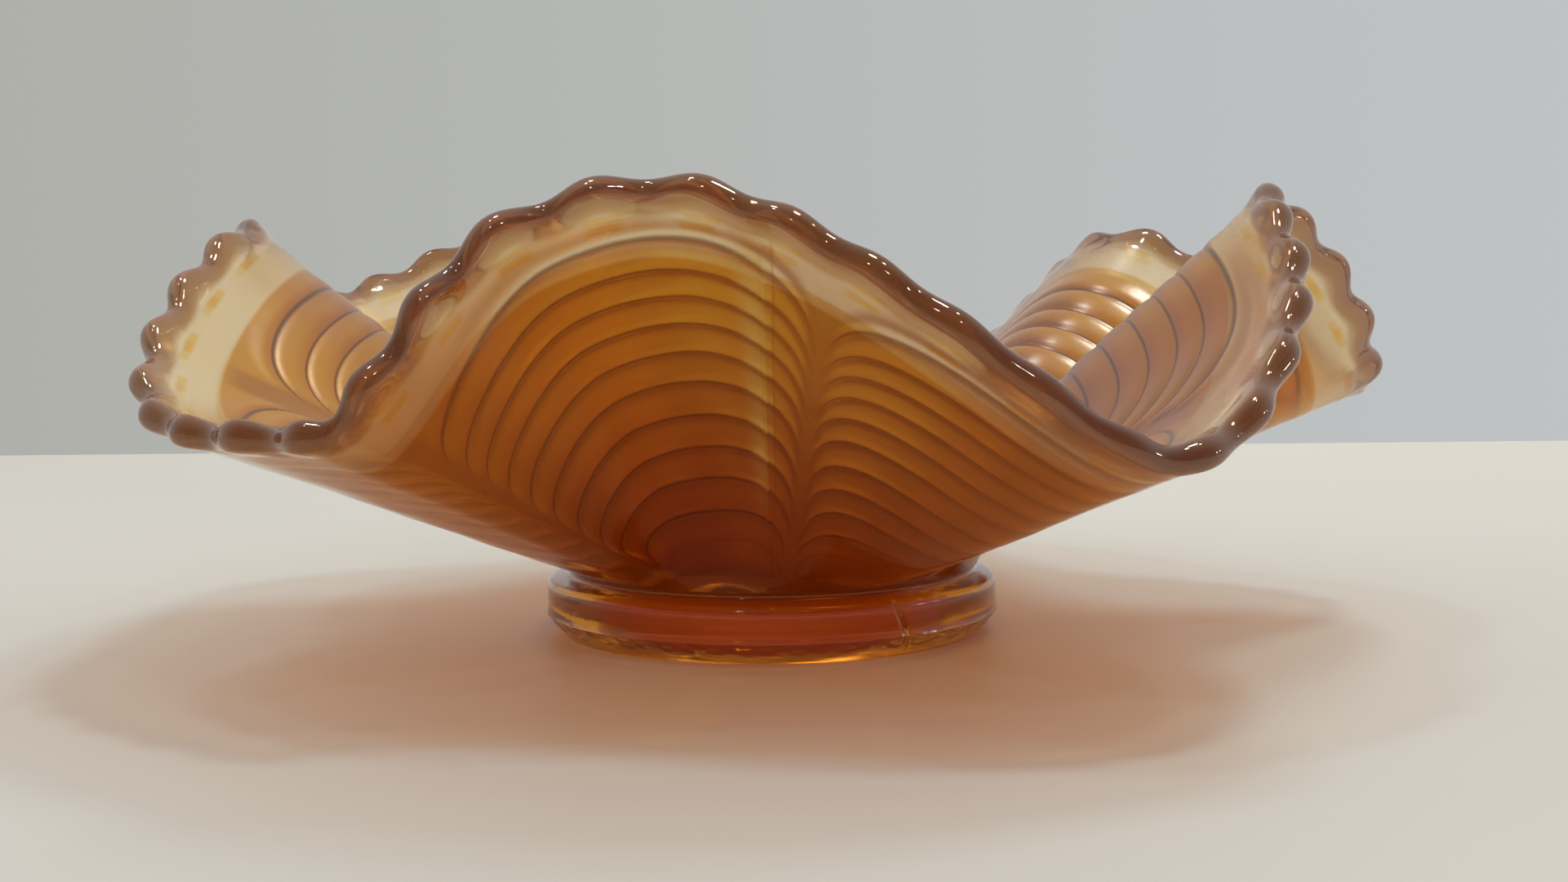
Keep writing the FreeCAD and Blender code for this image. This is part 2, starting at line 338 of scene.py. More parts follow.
def skin(azimuth, reach):
    """Points of the wall's outer skin."""
    angle = wall_angle(azimuth)
    steepness = (angle - SHALLOW) / (STEEP - SHALLOW)
    base = np.radians(SHALLOW_BASE_SLOPE + steepness * (STEEP_BASE_SLOPE - SHALLOW_BASE_SLOPE))
    rim = np.radians(SHALLOW_RIM_SLOPE + steepness * (STEEP_RIM_SLOPE - SHALLOW_RIM_SLOPE))
    rim_r = NECK_R + WALL_LENGTH * np.cos(np.radians(angle))
    rim_z = NECK_Z + WALL_LENGTH * np.sin(np.radians(angle))
    handle = WALL_BULGE * WALL_LENGTH
    back = 1 - reach
    weights = (back**3, 3 * back**2 * reach, 3 * back * reach**2, reach**3)
    radii = (NECK_R, NECK_R + handle * np.cos(base), rim_r - handle * np.cos(rim), rim_r)
    heights = (NECK_Z, NECK_Z + handle * np.sin(base), rim_z - handle * np.sin(rim), rim_z)
    r = sum(weight * radius for weight, radius in zip(weights, radii))
    z = sum(weight * height for weight, height in zip(weights, heights))
    return around_axis(azimuth, r, z)


def unit(vectors):
    return vectors / np.linalg.norm(vectors, axis=-1, keepdims=True)


def inward(azimuth, reach):
    """Direction through the wall, from the outer skin to the inner one."""
    sideways = skin(azimuth + PROBE_AZIMUTH, reach) - skin(azimuth - PROBE_AZIMUTH, reach)
    upwards = skin(azimuth, reach + PROBE_REACH) - skin(azimuth, reach - PROBE_REACH)
    normal = unit(np.cross(sideways, upwards))
    normal = normal * np.where(normal[..., 2:] < 0, -1, 1)
    lean = math.radians(NECK_TILT)
    at_neck = around_axis(azimuth, -math.sin(lean), math.cos(lean))
    blend = smooth_step(reach / NECK_BLEND)[..., None]
    return unit(at_neck * (1 - blend) + normal * blend)


def smooth_step(share):
    share = np.clip(share, 0, 1)
    return share * share * (3 - 2 * share)


def gentle_step(share):
    """Like smooth_step, but with no sudden change of curvature, so that no line shows in the gloss."""
    share = np.clip(share, 0, 1)
    return share**3 * (6 * share**2 - 15 * share + 10)


def glass(azimuth, reach, depth):
    """Points of the wall: depth is 0 on the outer skin and THICKNESS on the inner one."""
    azimuth, reach, depth = np.broadcast_arrays(azimuth, reach, depth)
    return skin(azimuth, reach) + inward(azimuth, reach) * depth[..., None]


def equal_steps():
    """Azimuths that divide the crimped rim into RING_STEPS equal lengths."""
    azimuth = RUFFLES[0, 0] + np.linspace(0, FULL_TURN, ARC_STEPS)
    points = skin(azimuth, np.ones_like(azimuth))
    length = np.append(0, np.cumsum(np.linalg.norm(np.diff(points, axis=0), axis=1)))
    wanted = length[-1] * np.arange(RING_STEPS) / RING_STEPS
    return np.interp(wanted, length, azimuth)


def signed(azimuth):
    """The same azimuth, counted from -180 to 180."""
    return (azimuth + FULL_TURN / 2) % FULL_TURN - FULL_TURN / 2


RING = equal_steps()
SCALLOP_TURN = 2 * np.pi * (SCALLOPS * np.arange(RING_STEPS) / RING_STEPS - SCALLOP_PHASE)
CALM = 1 - CALM_SHARE * np.exp(-((signed(RING) - CALM_AZIMUTH) / CALM_SPAN) ** 2)
SCALLOP = np.cos(SCALLOP_TURN) * CALM


# ======================================================================== feather relief

def feather_field(azimuth, reach):
    """Phase is a whole number on each arc line. Crowding nears 1 where lines run together."""
    place = ((azimuth - FIRST_STEM) % PANEL_SPAN) / (PANEL_SPAN / 2) - 1
    side = np.abs(place)
    room = np.maximum(1 - side**ARC_FLATNESS, LEAST_ROOM)
    height = reach - ARC_DROP * np.log(room) + SIDE_SAG * (1 - np.cos(np.radians(azimuth - SAG_TURN)))
    index = np.interp(height, ARC_HEIGHTS, np.arange(len(ARC_HEIGHTS)))
    above = np.maximum(height - ARC_HEIGHTS[-1], 0) / ARC_STEP
    below = np.minimum(height - ARC_HEIGHTS[0], 0) / ARC_STEP
    steepness = ARC_DROP * ARC_FLATNESS * side ** (ARC_FLATNESS - 1) / room
    crowding = smooth_step((steepness - CROWD_START) / CROWD_SPAN)
    return index + above + below, crowding


def relief(azimuth, reach):
    """How far the pressed feathers stand up from the inner skin."""
    phase, crowding = feather_field(azimuth, reach)
    share = phase % 1.0
    pillow = 1 - np.abs(2 * share - 1) ** PILLOW_SHARPNESS
    started = smooth_step(phase + PILLOW_START)
    ended = smooth_step((phase - LAST_ARC - PILLOW_END) / PILLOW_FADE)
    present = started * (1 - ended)
    ends = gentle_step(reach / RELIEF_BASE) * gentle_step((RIM_START - reach) / RELIEF_END)
    return PILLOW_HEIGHT * pillow * present * (1 - CROWDED_LOSS * crowding) * ends


def wave_sum(azimuth, along, waves):
    turn = np.radians(azimuth)
    return sum(
        strength * np.sin(count * turn + twist * along + offset)
        for strength, count, twist, offset in waves
    )


def unevenness(azimuth, reach):
    """The slow waves that pressed glass keeps from the mould's cool faces."""
    waves = WAVE_HEIGHT * wave_sum(azimuth, reach, WALL_WAVES)
    return waves * gentle_step(reach / WAVE_FADE) * gentle_step((RIM_START - reach) / WAVE_FADE)


def beside_seam(azimuth):
    """Degrees to the nearest seam, counted up to the left of it as seen from outside."""
    return -((azimuth - SEAMS[0] + SEAM_SPAN / 2) % SEAM_SPAN - SEAM_SPAN / 2)


def seam(azimuth, r):
    """The fine ridges that the joints of the mould left on the outside."""
    ridge = 0
    for place in SEAMS:
        across = np.radians(signed(azimuth - place)) * r
        ridge = ridge + np.exp(-((across / SEAM_WIDTH) ** 2))
    return SEAM_HEIGHT * ridge


# ======================================================================== meshes

def ring_mesh(name, rows, closed, hidden_rows=(), attributes=None, poles=()):
    """A mesh from rows of points that each run once round the bowl.

    hidden_rows are the rows whose band up to the next row lies inside the glass. attributes hold
    one array per row. poles closes an end row on a centre point at a height.
    """
    points = np.concatenate(rows) * METRES
    count, steps = len(rows), len(rows[0])
    here = np.arange(steps)
    after = (here + 1) % steps
    pairs = [(row, row + 1) for row in range(count - 1)] + ([(count - 1, 0)] if closed else [])
    quads = [
        np.stack([low * steps + here, low * steps + after, high * steps + after, high * steps + here], 1)
        for low, high in pairs
    ]
    faces = np.concatenate(quads).tolist()
    slots = np.repeat([1 if low in hidden_rows else 0 for low, _ in pairs], steps).tolist()
    values = {key: np.concatenate(list_of_rows) for key, list_of_rows in (attributes or {}).items()}
    for row, height in poles:
        centre = len(points)
        points = np.append(points, [[0, 0, height * METRES]], axis=0)
        start = row * steps
        fan = [(start + this, start + following, centre) for this, following in zip(here, after)]
        faces += fan if row else [face[::-1] for face in fan]
        slots += [0] * steps
        values = {key: np.append(value, value[start]) for key, value in values.items()}
    mesh = bpy.data.meshes.new(name)
    mesh.from_pydata(points.tolist(), [], faces)
    mesh.polygons.foreach_set("material_index", slots)
    mesh.polygons.foreach_set("use_smooth", [slot == 0 for slot in slots])
    for key, value in values.items():
        mesh.attributes.new(key, "FLOAT", "POINT").data.foreach_set("value", value.astype(np.float32))
    face_outwards(mesh)
    piece = bpy.data.objects.new(name, mesh)
    bpy.context.scene.collection.objects.link(piece)
    return piece


def face_outwards(mesh):
    """Turn the faces outwards, and cut the shading between the visible skin and the hidden ends."""
    work = bmesh.new()
    work.from_mesh(mesh)
    bmesh.ops.recalc_face_normals(work, faces=work.faces)
    borders = [edge for edge in work.edges if len({face.material_index for face in edge.link_faces}) > 1]
    bmesh.ops.split_edges(work, edges=borders)
    work.to_mesh(mesh)
    work.free()


def field_rows(reaches, inside):
    """The attributes that the glass materials read, for rows at these reaches."""
    phases, crowdings = zip(*[feather_field(RING, np.full(RING_STEPS, reach)) for reach in reaches])
    return {
        "reach": [np.full(RING_STEPS, reach) for reach in reaches],
        "phase": list(phases),
        "crowding": list(crowdings),
        "inside": [np.full(RING_STEPS, float(flag)) for flag in inside],
        "lobe": [np.cos(SCALLOP_TURN) for _ in reaches],
        "beside_seam": [beside_seam(RING) for _ in reaches],
    }


def wall_piece():
    """The ruffled wall: smooth outside with mould seams, pressed feathers inside."""
    outer = np.linspace(0, RIM_START, OUTER_ROWS)
    inner = np.linspace(RIM_START, 0, INNER_ROWS)
    rows = []
    for reach in outer:
        r = np.linalg.norm(skin(RING, np.full(RING_STEPS, reach))[:, :2], axis=1)
        fade = smooth_step(reach / SEAM_FADE) * smooth_step((RIM_START - reach) / SEAM_FADE)
        depth = -seam(RING, r) * fade + unevenness(RING, reach)
        rows.append(glass(RING, np.full(RING_STEPS, reach), depth))
    rows.append(glass(RING, RIM_START - END_DISH, THICKNESS / 2))
    for reach in inner:
        depth = THICKNESS + relief(RING, np.full(RING_STEPS, reach))
        rows.append(glass(RING, np.full(RING_STEPS, reach), depth))
    rows.append(glass(RING, END_DISH, THICKNESS / 2))
    reaches = [*outer, RIM_START, *inner, 0.0]
    inside = [0] * (OUTER_ROWS + 1) + [1] * (INNER_ROWS + 1)
    ends = (OUTER_ROWS - 1, OUTER_ROWS, len(rows) - 2, len(rows) - 1)
    return ring_mesh("ruffled_wall", rows, True, ends, field_rows(reaches, inside))


def rim_piece():
    """The lip: it swells into a lobe at each scallop and is round over the edge."""
    start = RIM_START * WALL_LENGTH
    radius = THICKNESS / 2
    shoulder = WALL_LENGTH - radius
    rise = np.linspace(0, 1, LIP_ROWS)
    over = np.linspace(-90, 90, TIP_ROWS)
    stops = [(share, -90.0) for share in rise] + [(1.0, angle) for angle in over[1:-1]]
    stops += [(share, 90.0) for share in rise[::-1]]
    rows, reaches, inside = [], [], []
    for share, angle in stops:
        follow = gentle_step(share)
        swell = 1 + follow * (LOBE_SWELL + LOBE_SWELL_CHANGE * SCALLOP)
        turn = math.radians(angle)
        along = start + share * (shoulder - start) + radius * math.cos(turn)
        along = along + follow * SCALLOP_HEIGHT * SCALLOP
        depth = radius + radius * swell * math.sin(turn)
        rows.append(glass(RING, along / WALL_LENGTH, depth))
        reaches.append(float(np.mean(along)) / WALL_LENGTH)
        inside.append((math.sin(turn) + 1) / 2)
    rows.append(glass(RING, RIM_START + END_DISH, radius))
    ends = (len(rows) - 2, len(rows) - 1)
    return ring_mesh("scalloped_lip", rows, True, ends, field_rows([*reaches, RIM_START], [*inside, 0.5]))


def through_points(points, steps):
    """A smooth line (Catmull-Rom) through a few points of a profile."""
    points = np.array(points, float)
    knots = np.vstack([2 * points[0] - points[1], points, 2 * points[-1] - points[-2]])
    line = []
    for before, here, there, after in zip(knots, knots[1:], knots[2:], knots[3:]):
        for t in np.linspace(0, 1, steps, endpoint=False):
            bend = 2 * before - 5 * here + 4 * there - after
            twist = 3 * here - before - 3 * there + after
            line.append(here + 0.5 * ((there - before) * t + bend * t**2 + twist * t**3))
    line.append(points[-1])
    return line


def straight(here, there, steps):
    return [np.add(here, np.subtract(there, here) * t) for t in np.linspace(0, 1, steps)]


def turned_rows(profile, shift=None):
    """Rows of points for a profile turned about the axis. shift says how far out each one moves."""
    rows = []
    for r, z in profile:
        out = shift(RING, r, z) if shift else 0
        rows.append(around_axis(RING, r + out, np.full(RING_STEPS, z)))
    return rows


def foot_marks(azimuth, r, z):
    """Mould seams and a shear mark on the outside of the foot."""
    top = NECK_Z - NECK_MARGIN
    if r < REST_OUTER_R or not MARK_MARGIN < z < top:
        return 0
    fade = smooth_step((z - MARK_MARGIN) / MARK_FADE) * smooth_step((top - z) / MARK_FADE)
    path = SHEAR_AZIMUTH + SHEAR_LEAN * (z / NECK_Z) ** SHEAR_CURVE
    across = np.radians(azimuth - path) * r
    marks = seam(azimuth, r) - SHEAR_DEPTH * np.exp(-((across / SHEAR_WIDTH) ** 2))
    return (marks + ripples(azimuth, z)) * fade


def ripples(azimuth, z):
    """The uneven skin of the foot's lower edge, where the glass chilled first."""
    waves = RIPPLE_HEIGHT * wave_sum(azimuth, z, FOOT_WAVES)
    return waves * (1 - smooth_step((z - RIPPLE_TOP_Z) / RIPPLE_FADE))


def foot_piece():
    """The ring that the bowl stands on, with its groove under the wall, shelf, ridge and recess."""
    neck = (NECK_R, NECK_Z)
    recess_top = (RECESS_R, FLOOR_UNDERSIDE_Z)
    side = through_points([neck, *FOOT_FACE, RIDGE_BEAD], SIDE_STEPS)
    chamfer = through_points([RIDGE_BEAD, RIDGE_UNDERSIDE, (REST_OUTER_R, 0)], SIDE_STEPS)
    rest = straight((REST_OUTER_R, 0), (REST_INNER_R, 0), REST_ROWS)
    recess = through_points([(REST_INNER_R, 0), RECESS_KNEE, recess_top], RECESS_STEPS)
    profile = side + chamfer[1:] + rest[1:] + recess[1:] + [dished(recess_top, neck, -FOOT_DISH)]
    rows = turned_rows(profile, foot_marks)
    attributes = {"height": [np.full(RING_STEPS, z) for _, z in profile]}
    return ring_mesh("collar_ring", rows, True, (len(rows) - 2, len(rows) - 1), attributes)


def dished(here, there, drop):
    """The middle of a hidden end, moved up by drop."""
    r, z = np.add(here, there) / 2
    return r, z + drop


def floor_piece():
    """The disc that closes the bottom, dished a little towards its middle."""
    lean = math.radians(NECK_TILT)
    wall_inside = (NECK_R - THICKNESS * math.sin(lean), NECK_Z + THICKNESS * math.cos(lean))
    radii = np.linspace(CENTRE_R, wall_inside[0], FLOOR_ROWS)
    share = radii / wall_inside[0]
    heights = FLOOR_TOP_Z + (wall_inside[1] - FLOOR_TOP_Z) * share**2
    top = list(zip(radii, heights))
    under = straight((RECESS_R, FLOOR_UNDERSIDE_Z), (CENTRE_R, FLOOR_UNDERSIDE_Z), UNDERSIDE_ROWS)
    neck = (NECK_R, NECK_Z)
    side = [dished(wall_inside, neck, -FOOT_DISH), neck, dished(neck, under[0], FOOT_DISH)]
    profile = top + side + under
    hidden = range(len(top) - 1, len(top) + len(side))
    rows = turned_rows(profile)
    flat = {
        "reach": FLOOR_TONE,
        "phase": FLOOR_PHASE,
        "crowding": 0.0,
        "lobe": 0.0,
        "beside_seam": SEAM_SPAN / 2,
    }
    attributes = {key: [np.full(RING_STEPS, value) for _ in profile] for key, value in flat.items()}
    attributes["inside"] = [np.full(RING_STEPS, float(row < len(top))) for row in range(len(profile))]
    poles = ((0, heights[0]), (len(profile) - 1, FLOOR_UNDERSIDE_Z))
    return ring_mesh("bowl_bottom", rows, False, hidden, attributes, poles)


# ======================================================================== materials

class Nodes:
    """Short ways to add the shader nodes that the materials share."""

    def __init__(self, material):
        material.use_nodes = True
        self.tree = material.node_tree
        self.tree.nodes.clear()

    def add(self, kind, **settings):
        node = self.tree.nodes.new(kind)
        for key, value in settings.items():
            setattr(node, key, value)
        return node

    def plug(self, value, socket):
        if isinstance(value, bpy.types.NodeSocket):
            self.tree.links.new(value, socket)
        else:
            socket.default_value = value

    def attribute(self, name):
        return self.add("ShaderNodeAttribute", attribute_name=name).outputs["Fac"]

    def math(self, operation, first, second=0.0):
        node = self.add("ShaderNodeMath", operation=operation)
        self.plug(first, node.inputs[0])
        self.plug(second, node.inputs[1])
        return node.outputs[0]

    def span(self, value, low, high, to_low=0.0, to_high=1.0):
        """value mapped smoothly from low..high to to_low..to_high."""
        node = self.add("ShaderNodeMapRange", interpolation_type="SMOOTHSTEP")
        for socket, number in zip(node.inputs, (value, low, high, to_low, to_high)):
            self.plug(number, socket)
        return node.outputs["Result"]

    def noise(self, scale, detail=2.0):
        place = self.add("ShaderNodeTexCoord").outputs["Object"]
        node = self.add("ShaderNodeTexNoise")
        self.plug(place, node.inputs["Vector"])
        node.inputs["Scale"].default_value = scale
        node.inputs["Detail"].default_value = detail
        return node.outputs["Fac"]

    def patchy(self, scale, low, high, detail=3.0):
        """A value that wanders from low to high over the glass."""
        return self.span(self.noise(scale, detail), *PATCH_RANGE, low, high)

    def ramp(self, value, stops):
        node = self.add("ShaderNodeValToRGB")
        self.plug(value, node.inputs["Fac"])
        elements = node.color_ramp.elements
        while len(elements) < len(stops):
            elements.new(1.0)
        for element, (place, colour) in zip(elements, stops):
            element.position = place
            element.color = (*colour, 1)
        return node.outputs["Color"]

    def blend(self, share, first, second, mode="MIX"):
        """Two colours mixed. The node has sockets for each data type, and these are the colour ones."""
        node = self.add("ShaderNodeMix", data_type="RGBA", blend_type=mode)
        self.plug(share, node.inputs["Factor"])
        for socket, colour in ((6, first), (7, second)):
            self.plug((*colour, 1) if isinstance(colour, tuple) else colour, node.inputs[socket])
        return node.outputs[2]

    def times(self, first, *others):
        for other in others:
            first = self.math("MULTIPLY", first, other)
        return first


def film_glass(name, colour_of, roughness_of, film_of, bump_scale, milk, shine):
    """Glass under an iridescent film. Lamps shine through it and are tinted on the way.

    milk is the share of light that the glass scatters instead of passing on, and shine is its
    specular level.
    """
    material = bpy.data.materials.new(name)
    nodes = Nodes(material)
    colour = colour_of(nodes)
    shader = nodes.add("ShaderNodeBsdfPrincipled")
    nodes.plug(colour, shader.inputs["Base Color"])
    nodes.plug(roughness_of(nodes), shader.inputs["Roughness"])
    shader.inputs["IOR"].default_value = GLASS_IOR
    shader.inputs["Specular IOR Level"].default_value = shine
    shader.inputs["Transmission Weight"].default_value = 1 - milk
    shader.inputs["Thin Film IOR"].default_value = FILM_IOR
    nodes.plug(film_of(nodes), shader.inputs["Thin Film Thickness"])
    bump = nodes.add("ShaderNodeBump")
    bump.inputs["Strength"].default_value = BUMP_STRENGTH
    bump.inputs["Distance"].default_value = BUMP_DISTANCE
    nodes.plug(nodes.noise(bump_scale, detail=3.0), bump.inputs["Height"])
    nodes.plug(bump.outputs["Normal"], shader.inputs["Normal"])
    passing = nodes.add("ShaderNodeBsdfTransparent")
    nodes.plug(nodes.blend(SHADE_SHARE, colour, SHADE), passing.inputs["Color"])
    ray = nodes.add("ShaderNodeLightPath")
    mix = nodes.add("ShaderNodeMixShader")
    unseen = nodes.math("MAXIMUM", ray.outputs["Is Shadow Ray"], ray.outputs["Is Diffuse Ray"])
    nodes.plug(unseen, mix.inputs[0])
    nodes.plug(shader.outputs[0], mix.inputs[1])
    nodes.plug(passing.outputs[0], mix.inputs[2])
    output = nodes.add("ShaderNodeOutputMaterial")
    nodes.plug(mix.outputs[0], output.inputs["Surface"])
    return material


def wall_colour(nodes):
    """Bands of amber over the wall, darkest at the neck as painted shade, with the feathers' painted
    shade, the seams and the painted light under the lip's lobes drawn on them.
    """
    reach = nodes.attribute("reach")
    inside = nodes.attribute("inside")
    wander = nodes.times(nodes.math("SUBTRACT", nodes.noise(WANDER_SCALE), 0.5), BAND_WANDER)
    place = nodes.math("ADD", reach, wander)
    body = with_cloud(nodes, nodes.ramp(place, WALL_BANDS))
    body = with_feathers(nodes, body, reach, inside)
    body = with_seams(nodes, body, place, inside)
    body = with_painted_lobe_light(nodes, body, reach)
    # painted shade where the grooves run together at a stem
    stem_shade = nodes.times(
        nodes.span(nodes.attribute("crowding"), STEM_START, 1.0, 0.0, STEM_STRENGTH),
        inside,
        nodes.span(reach, PALE_START, PALE_END, 1.0, 0.0),
    )
    return nodes.blend(stem_shade, body, STEM_SHADE)


def with_feathers(nodes, body, reach, inside):
    """Painted shade: a dark line in each groove, wider on the uppermost arc, and a darker band low on
    each feather.
    """
    phase = nodes.attribute("phase")
    above_top = nodes.math("SUBTRACT", phase, LAST_ARC)
    wide = nodes.span(above_top, *TOP_LINE_STARTS, LINE_WIDTH, TOP_LINE_WIDTH)
    # painted shade: a dark line in each groove between two feathers
    line = nodes.times(
        nodes.span(nodes.math("PINGPONG", phase, 0.5), LINE_CORE, wide, 1.0, 0.0),
        nodes.span(above_top, *LINE_ENDS, 1.0, 0.0),
        nodes.span(phase, *LINE_STARTS, 0.0, 1.0),
        inside,
    )
    # painted shade on the lower side of each feather
    feather_shade = nodes.times(
        nodes.span(nodes.math("FRACT", phase), 0.0, FEATHER_SHADE_WIDTH, FEATHER_SHADE_STRENGTH, 0.0),
        inside,
        nodes.span(above_top, *FEATHER_SHADE_ENDS, 1.0, 0.0),
        nodes.span(reach, PALE_START, PALE_END, 1.0, PALE_FEATHER_SHADE_SHARE),
    )
    body = nodes.blend(feather_shade, body, FEATHER_SHADE, "MULTIPLY")
    return nodes.blend(line, body, FEATHER_LINE_SHADE, "MULTIPLY")


def with_seams(nodes, body, place, inside):
    """A fine dark line on each mould seam, and a paler streak to the left of it."""
    beside = nodes.attribute("beside_seam")
    streak = nodes.times(
        nodes.span(beside, 0.0, STREAK_EDGE, 0.0, 1.0),
        nodes.span(beside, STREAK_NEAR, STREAK_FAR, 1.0, 0.0),
        nodes.span(place, *STREAK_RISE, 0.0, STREAK_STRENGTH),
    )
    body = nodes.blend(streak, body, STREAK)
    away = nodes.math("ABSOLUTE", beside)
    edge = nodes.times(nodes.span(away, 0.0, SEAM_LINE_WIDTH, SEAM_LINE_STRENGTH, 0.0), inside)
    return nodes.blend(edge, body, SEAM_LINE, "MULTIPLY")


def rim_colour(nodes):
    """Pale glass that turns bronze and mauve towards the edge, following the lobes."""
    reach = nodes.attribute("reach")
    follow = nodes.times(nodes.attribute("lobe"), LOBE_FOLLOW)
    body = with_cloud(nodes, nodes.ramp(nodes.math("ADD", reach, follow), RIM_BANDS))
    return with_painted_lobe_light(nodes, body, reach)


def with_cloud(nodes, body):
    """The spray lies unevenly."""
    cloud = nodes.span(nodes.noise(CLOUD_SCALE, detail=4.0), *CLOUD_RANGE, 0.0, CLOUD_STRENGTH)
    return nodes.blend(cloud, body, CLOUD, "MULTIPLY")


def with_painted_lobe_light(nodes, body, reach):
    """Painted light: a yellow glow under each lobe of the lip, where the lobe focuses light into the
    glass.
    """
    away = nodes.math("ABSOLUTE", nodes.math("SUBTRACT", reach, LENS_REACH))
    lens = nodes.span(away, LENS_CORE, LENS_EDGE, 1.0, 0.0)
    lens = nodes.times(lens, nodes.span(nodes.attribute("lobe"), 0.0, LENS_LOBE, 0.0, LENS_STRENGTH))
    return nodes.blend(lens, body, PAINTED_LOBE_LIGHT)


def foot_colour(nodes):
    """Orange on the face of the foot, with a brighter band below the shelf's edge as painted highlight,
    and painted shade dark in the groove under the wall.
    """
    body = nodes.ramp(nodes.times(nodes.attribute("height"), 1 / NECK_Z), FOOT_BANDS)
    noise = nodes.noise(FOOT_CLOUD_SCALE, detail=3.0)
    cloud = nodes.span(noise, *CLOUD_RANGE, 0.0, FOOT_CLOUD_STRENGTH)
    return nodes.blend(cloud, body, FOOT_CLOUD, "MULTIPLY")


def film(nodes, thickness):
    return nodes.patchy(FILM_SCALE, thickness - FILM_SPREAD, thickness + FILM_SPREAD)


def bowl_film(nodes):
    """The metal film lies on the inside of the wall and round the lip; the outside is bare glass."""
    lip = nodes.span(nodes.attribute("reach"), SATIN_END, LIP_START)
    return nodes.times(film(nodes, BOWL_FILM), nodes.math("MAXIMUM", nodes.attribute("inside"), lip))


def foot_film(nodes):
    """Only the lower part of the foot caught some of the spray."""
    sprayed = nodes.span(nodes.attribute("height"), *FOOT_FILM_TOP, 1.0, 0.0)
    return nodes.times(film(nodes, FOOT_FILM), sprayed)


def foot_gloss(nodes):
    return nodes.patchy(GLOSS_SCALE, *FOOT_GLOSS)


def bowl_gloss(nodes):
    """Satin where the film lies inside the wall, and glossy on the outside and the lip."""
    below_lip = nodes.span(nodes.attribute("reach"), SATIN_END, LIP_START, 1.0, 0.0)
    share = nodes.times(nodes.attribute("inside"), below_lip)
    gloss = nodes.patchy(GLOSS_SCALE, *GLOSS)
    satin = nodes.patchy(SATIN_SCALE, *SATIN)
    extra = nodes.times(nodes.math("SUBTRACT", satin, gloss), share)
    return nodes.math("ADD", gloss, extra)


def hidden_joint():
    """Where two zones of the one casting meet there is no surface, so this shows nothing."""
    material = bpy.data.materials.new("inside_the_glass")
    nodes = Nodes(material)
    passing = nodes.add("ShaderNodeBsdfTransparent")
    output = nodes.add("ShaderNodeOutputMaterial")
    nodes.plug(passing.outputs[0], output.inputs["Surface"])
    return material


# ======================================================================== stage, lights and camera

def plain_surface(name, colour, roughness):
    material = bpy.data.materials.new(name)
    nodes = Nodes(material)
    shader = nodes.add("ShaderNodeBsdfPrincipled")
    tone = nodes.patchy(TABLE_PATCH_SCALE, *TABLE_TONES, detail=4.0)
    nodes.plug(nodes.blend(1.0, colour, tone, "MULTIPLY"), shader.inputs["Base Color"])
    shader.inputs["Roughness"].default_value = roughness
    output = nodes.add("ShaderNodeOutputMaterial")
    nodes.plug(shader.outputs[0], output.inputs["Surface"])
    return material


def table():
    """A pale table top with eased edges. It ends behind the bowl, where the backdrop shows."""
    low = (-TABLE_HALF_WIDTH, -TABLE_HALF_WIDTH, -TABLE_THICKNESS)
    high = (TABLE_HALF_WIDTH, TABLE_BACK_Y, 0.0)
    work = bmesh.new()
    bmesh.ops.create_cube(work, size=1.0)
    size = np.subtract(high, low)
    middle = np.add(low, high) / 2
    bmesh.ops.scale(work, vec=size, verts=work.verts)
    bmesh.ops.translate(work, vec=middle, verts=work.verts)
    edges = work.edges[:]
    bmesh.ops.bevel(work, geom=edges, offset=TABLE_EASE, segments=TABLE_EASE_STEPS, affect="EDGES")
    mesh = bpy.data.meshes.new("pale_table")
    work.to_mesh(mesh)
    work.free()
    mesh.materials.append(plain_surface("pale_table", TABLE_COLOUR, TABLE_ROUGHNESS))
    piece = bpy.data.objects.new("pale_table", mesh)
    bpy.context.scene.collection.objects.link(piece)


def area_light(name, place, size, power, colour=(1, 1, 1), mirrored=True, refracted=True):
    """A round lamp aimed at the bowl. mirrored and refracted say whether it shows in the glass itself."""
    lamp = bpy.data.lights.new(name, "AREA")
    lamp.shape = "DISK"
    lamp.size = size
    lamp.energy = power
    lamp.color = colour
    holder = bpy.data.objects.new(name, lamp)
    holder.location = place
    holder.visible_glossy = mirrored
    holder.visible_transmission = refracted
    aim = Vector(LAMP_AIM) - Vector(place)
    holder.rotation_euler = aim.to_track_quat("-Z", "Y").to_euler()
    bpy.context.scene.collection.objects.link(holder)


def lights():
    """Soft lamps behind and overhead cast the shadows. Small ones make the glints on the glass."""
    area_light(
        "behind_right", BEHIND_PLACE, BEHIND_SIZE, BEHIND_POWER, AMBER_WHITE,
        mirrored=False, refracted=False,
    )
    area_light(
        "overhead_right", RIGHT_PLACE, RIGHT_SIZE, RIGHT_POWER, WARM_WHITE, refracted=False,
    )
    area_light(
        "overhead_left", LEFT_PLACE, LEFT_SIZE, LEFT_POWER, SOFT_WHITE, refracted=False,
    )
    area_light("low_right", LOW_PLACE, LOW_LAMP_SIZE, LOW_LAMP_POWER)
    area_light("low_front_right", LOW_FRONT_PLACE, LOW_LAMP_SIZE, LOW_LAMP_POWER)
    for number, place in enumerate(GLINTS):
        area_light(f"glint_{number}", place, GLINT_SIZE, GLINT_POWER)


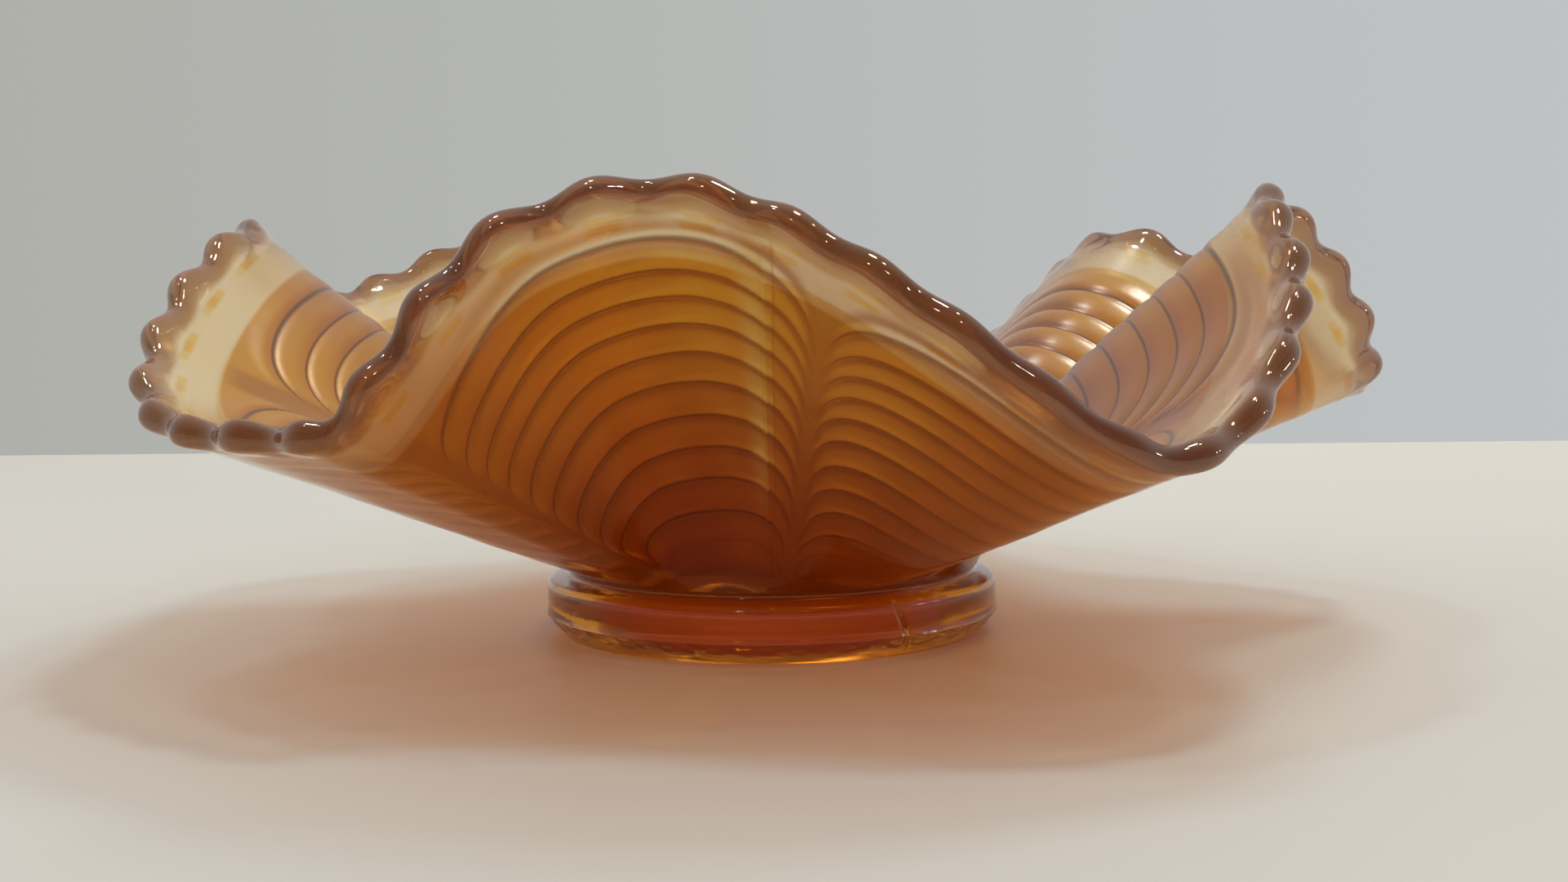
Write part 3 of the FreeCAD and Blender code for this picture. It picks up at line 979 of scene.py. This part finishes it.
def surroundings():
    """Soft grey light from the back of the room, and a plain backdrop for the camera."""
    world = bpy.data.worlds.new("studio")
    nodes = Nodes(world)
    direction = nodes.add("ShaderNodeSeparateXYZ")
    nodes.plug(nodes.add("ShaderNodeTexCoord").outputs["Generated"], direction.inputs[0])
    room = nodes.blend(nodes.span(direction.outputs["Y"], *ROOM_TURN), ROOM_FRONT, ROOM_BACK)
    across = nodes.span(direction.outputs["X"], *BACKDROP_TURN)
    backdrop = nodes.blend(across, BACKDROP_LEFT, BACKDROP_RIGHT)
    ray = nodes.add("ShaderNodeLightPath")
    background = nodes.add("ShaderNodeBackground")
    nodes.plug(nodes.blend(ray.outputs["Is Camera Ray"], room, backdrop), background.inputs["Color"])
    output = nodes.add("ShaderNodeOutputWorld")
    nodes.plug(background.outputs[0], output.inputs["Surface"])
    bpy.context.scene.world = world


def camera():
    """Just over the rim, square to the bowl's front, tilted down and a touch clockwise."""
    pitch, roll = math.radians(CAMERA_PITCH), math.radians(CAMERA_ROLL)
    forward = Vector((0, math.cos(pitch), -math.sin(pitch)))
    right = Vector((1, 0, 0))
    up = right.cross(forward)
    turned_right = right * math.cos(roll) - up * math.sin(roll)
    turned_up = up * math.cos(roll) + right * math.sin(roll)
    lens = bpy.data.cameras.new("camera")
    lens.lens = LENS_LENGTH
    lens.sensor_width = SENSOR_WIDTH
    lens.clip_start = NEAREST_SEEN
    holder = bpy.data.objects.new("camera", lens)
    placed = Matrix((turned_right, turned_up, -forward)).transposed().to_4x4()
    placed.translation = (CAMERA_ASIDE, -CAMERA_DISTANCE, CAMERA_HEIGHT)
    holder.matrix_world = placed
    bpy.context.scene.collection.objects.link(holder)
    bpy.context.scene.camera = holder
    bpy.context.scene.view_settings.view_transform = "Standard"


# ======================================================================== assembly

def finish_piece(piece, node, material, joint):
    piece.data.materials.append(material)
    piece.data.materials.append(joint)
    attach(piece, "root")
    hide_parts(node)


def assemble():
    joint = hidden_joint()
    wall_glass = film_glass(
        "marigold_wall", wall_colour, bowl_gloss, bowl_film, BOWL_BUMP_SCALE, WALL_MILK, WALL_SHINE,
    )
    rim_glass = film_glass(
        "bronze_rim", rim_colour, bowl_gloss, bowl_film, BOWL_BUMP_SCALE, RIM_MILK, RIM_SHINE,
    )
    foot_glass = film_glass(
        "amber_foot", foot_colour, foot_gloss, foot_film, FOOT_BUMP_SCALE, FOOT_MILK, FOOT_SHINE,
    )
    finish_piece(wall_piece(), "bowl_wall", wall_glass, joint)
    finish_piece(rim_piece(), "scalloped_rim", rim_glass, joint)
    finish_piece(foot_piece(), "collar_foot", foot_glass, joint)
    finish_piece(floor_piece(), "bowl_floor", wall_glass, joint)


assemble()
table()
lights()
surroundings()
camera()
